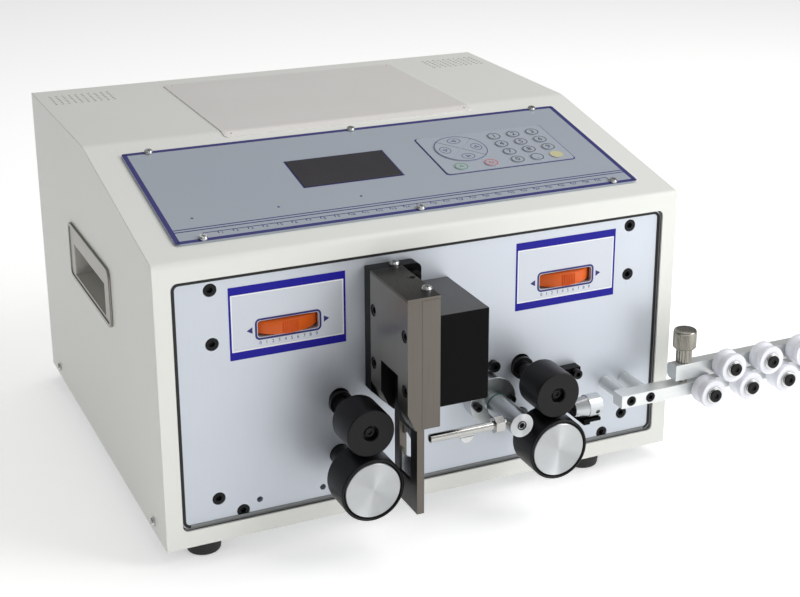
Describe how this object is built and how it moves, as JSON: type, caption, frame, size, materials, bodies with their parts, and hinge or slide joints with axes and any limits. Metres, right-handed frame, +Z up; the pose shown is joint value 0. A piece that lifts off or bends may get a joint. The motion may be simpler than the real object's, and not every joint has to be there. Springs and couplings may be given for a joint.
{
  "type": "wire stripping machine",
  "caption": "Bench machine with a sloped control panel that straightens wire, feeds it between roller pairs, cuts it and strips its ends with a sliding blade pair.",
  "frame": {"origin": "on the bench surface under the middle of the whole machine", "axes": "+X to the operator's right along the wire, +Y to the back, +Z up"},
  "size_m": [0.5196, 0.4136, 0.2448],
  "materials": {
    "case_paint": "fine textured powder coat",
    "sign_steel": "brushed and bare",
    "zinc_sheet": "zinc plated",
    "bright_screws": "nickel plated",
    "foot_rubber": "moulded",
    "handle_steel": "pressed stainless",
    "panel_print": "printed film on plate",
    "display_glass": "clear over dark display",
    "key_film": "embossed membrane",
    "circuit_board": "solder mask and bare parts",
    "inlet_plastic": "moulded",
    "rocker_plastic": "moulded",
    "plate_aluminium": "brushed and anodised",
    "black_screws": "black oxide",
    "block_aluminium": "milled",
    "motor_paint": "black paint",
    "spring_steel": "drawn wire",
    "dial_plastic": "moulded and knurled",
    "slide_steel": "ground",
    "roller_rubber": "cast polyurethane sleeve",
    "shaft_steel": "turned",
    "cap_aluminium": "spun",
    "cutter_black": "satin black",
    "cutter_steel": "ground and browned",
    "holder_steel": "ground",
    "blade_steel": "ground and honed",
    "guide_metal": "turned",
    "tube_steel": "drawn stainless",
    "bar_steel": "zinc plated",
    "axle_steel": "black oxide",
    "roller_nylon": "turned nylon",
    "knob_nickel": "knurled and nickel plated"
  },
  "bodies": {
    "chassis": {"case_shell": "case_paint", "rear_panel": "case_paint", "top_plate": "sign_steel", "base_tray": "zinc_sheet", "case_screws": "bright_screws", "rubber_feet": "foot_rubber", "carry_handles": "handle_steel", "control_panel": "panel_print", "display_window": "display_glass", "keypad": "key_film", "electronics": "circuit_board", "power_inlet": "inlet_plastic", "front_plate": "plate_aluminium", "socket_screws": "black_screws", "bearing_blocks": "block_aluminium", "stepper_motors": "motor_paint", "pressure_springs": "spring_steel", "cutter_base": "cutter_black", "cutter_cover": "cutter_black", "inlet_bracket": "cutter_black", "cutter_left_plate": "cutter_steel", "cutter_right_plate": "cutter_steel", "cutter_top_cap": "cutter_steel", "guide_flange": "guide_metal", "inlet_guide": "guide_metal", "straightener_bar": "bar_steel", "lower_axles": "axle_steel"},
    "power_rocker": {"power_switch": "rocker_plastic"},
    "left_dial": {"left_gap_dial": "dial_plastic"},
    "right_dial": {"right_gap_dial": "dial_plastic"},
    "left_slide": {"left_pressure_slide": "slide_steel"},
    "right_slide": {"right_pressure_slide": "slide_steel"},
    "left_pressure": {"left_pressure_roller": "roller_rubber", "left_pressure_shaft": "shaft_steel"},
    "right_pressure": {"right_pressure_roller": "roller_rubber", "right_pressure_shaft": "shaft_steel"},
    "left_drive": {"left_drive_roller": "roller_rubber", "left_drive_shaft": "shaft_steel", "left_roller_cap": "cap_aluminium"},
    "right_drive": {"right_drive_roller": "roller_rubber", "right_drive_shaft": "shaft_steel", "right_roller_cap": "cap_aluminium"},
    "upper_cutter": {"upper_blade_holder": "holder_steel", "upper_blade": "blade_steel"},
    "lower_cutter": {"lower_blade_holder": "holder_steel", "lower_blade": "blade_steel"},
    "pinion": {"cutter_pinion": "shaft_steel"},
    "swing_guide": {"guide_arm": "guide_metal", "guide_tube": "tube_steel"},
    "upper_bar": {"straightener_upper_bar": "bar_steel", "upper_axles": "axle_steel"},
    "screw_1": {"straightener_screw_1": "knob_nickel"},
    "screw_2": {"straightener_screw_2": "knob_nickel"},
    "roller_1": {"straightener_roller_1": "roller_nylon"},
    "roller_2": {"straightener_roller_2": "roller_nylon"},
    "roller_3": {"straightener_roller_3": "roller_nylon"},
    "roller_4": {"straightener_roller_4": "roller_nylon"},
    "roller_5": {"straightener_roller_5": "roller_nylon"},
    "roller_6": {"straightener_roller_6": "roller_nylon"},
    "roller_7": {"straightener_roller_7": "roller_nylon"}
  },
  "joints": [
    {"name": "left_drive_spin", "type": "hinge", "parent": "chassis", "child": "left_drive", "pos_m": [-0.13415, -0.16375, 0.0563], "axis": [0, 1, 0], "continuous": true},
    {"name": "left_dial_turn", "type": "hinge", "parent": "chassis", "child": "left_dial", "pos_m": [-0.16865, -0.11075, 0.1572], "axis": [0, 0, 1], "range_deg": [0, 180]},
    {"name": "left_gap", "type": "slide", "parent": "chassis", "child": "left_slide", "axis": [0, 0, 1], "range_m": [0, 0.002], "deforming": ["pressure_springs"]},
    {"name": "left_pressure_spin", "type": "hinge", "parent": "left_slide", "child": "left_pressure", "pos_m": [-0.13415, -0.16375, 0.0958], "axis": [0, 1, 0], "continuous": true},
    {"name": "right_drive_spin", "type": "hinge", "parent": "chassis", "child": "right_drive", "pos_m": [0.00385, -0.16375, 0.0563], "axis": [0, 1, 0], "continuous": true},
    {"name": "right_dial_turn", "type": "hinge", "parent": "chassis", "child": "right_dial", "pos_m": [0.03835, -0.11075, 0.1572], "axis": [0, 0, 1], "range_deg": [0, 180]},
    {"name": "right_gap", "type": "slide", "parent": "chassis", "child": "right_slide", "axis": [0, 0, 1], "range_m": [0, 0.002], "deforming": ["pressure_springs"]},
    {"name": "right_pressure_spin", "type": "hinge", "parent": "right_slide", "child": "right_pressure", "pos_m": [0.00385, -0.16375, 0.0958], "axis": [0, 1, 0], "continuous": true},
    {"name": "lower_blade_close", "type": "slide", "parent": "chassis", "child": "lower_cutter", "axis": [0, 0, 1], "range_m": [0, 0.0085]},
    {"name": "upper_blade_close", "type": "slide", "parent": "chassis", "child": "upper_cutter", "axis": [0, 0, -1], "range_m": [0, 0.0085]},
    {"name": "pinion_turn", "type": "hinge", "parent": "chassis", "child": "pinion", "pos_m": [-0.07315, -0.17875, 0.145], "axis": [0, -1, 0], "range_deg": [0, 47]},
    {"name": "guide_swing", "type": "hinge", "parent": "chassis", "child": "swing_guide", "pos_m": [-0.02365, -0.18275, 0.0788], "axis": [0, 1, 0], "range_deg": [0, 15]},
    {"name": "power_rock", "type": "hinge", "parent": "chassis", "child": "power_rocker", "pos_m": [-0.18515, 0.20345, 0.0935], "axis": [1, 0, 0], "range_deg": [-16, 0]},
    {"name": "screw_1_turn", "type": "hinge", "parent": "upper_bar", "child": "screw_1", "pos_m": [0.12185, -0.16755, 0.1], "axis": [0, 0, 1], "range_deg": [0, 1440]},
    {"name": "screw_2_turn", "type": "hinge", "parent": "upper_bar", "child": "screw_2", "pos_m": [0.24585, -0.16755, 0.1], "axis": [0, 0, 1], "range_deg": [0, 1440]},
    {"name": "upper_bar_lift", "type": "slide", "parent": "chassis", "child": "upper_bar", "axis": [0, 0, 1], "range_m": [0, 0.004]},
    {"name": "roller_1_spin", "type": "hinge", "parent": "chassis", "child": "roller_1", "pos_m": [0.13485, -0.18275, 0.07], "axis": [0, 1, 0], "continuous": true},
    {"name": "roller_2_spin", "type": "hinge", "parent": "chassis", "child": "roller_2", "pos_m": [0.16785, -0.18275, 0.07], "axis": [0, 1, 0], "continuous": true},
    {"name": "roller_3_spin", "type": "hinge", "parent": "chassis", "child": "roller_3", "pos_m": [0.20085, -0.18275, 0.07], "axis": [0, 1, 0], "continuous": true},
    {"name": "roller_4_spin", "type": "hinge", "parent": "chassis", "child": "roller_4", "pos_m": [0.23385, -0.18275, 0.07], "axis": [0, 1, 0], "continuous": true},
    {"name": "roller_5_spin", "type": "hinge", "parent": "upper_bar", "child": "roller_5", "pos_m": [0.15135, -0.18275, 0.0876], "axis": [0, 1, 0], "continuous": true},
    {"name": "roller_6_spin", "type": "hinge", "parent": "upper_bar", "child": "roller_6", "pos_m": [0.18435, -0.18275, 0.0876], "axis": [0, 1, 0], "continuous": true},
    {"name": "roller_7_spin", "type": "hinge", "parent": "upper_bar", "child": "roller_7", "pos_m": [0.21735, -0.18275, 0.0876], "axis": [0, 1, 0], "continuous": true}
  ],
  "couplings": [
    {"joint": "left_dial_turn", "follows": "left_gap", "rad_per_m": 1570},
    {"joint": "left_pressure_spin", "follows": "left_drive_spin", "ratio": -1.2222},
    {"joint": "right_dial_turn", "follows": "right_gap", "rad_per_m": 1570},
    {"joint": "right_pressure_spin", "follows": "right_drive_spin", "ratio": -1.2222},
    {"joint": "upper_blade_close", "follows": "lower_blade_close", "ratio": 1},
    {"joint": "pinion_turn", "follows": "lower_blade_close", "rad_per_m": 95.238},
    {"joint": "screw_1_turn", "follows": "upper_bar_lift", "rad_per_m": 6280},
    {"joint": "screw_2_turn", "follows": "upper_bar_lift", "rad_per_m": 6280}
  ]
}
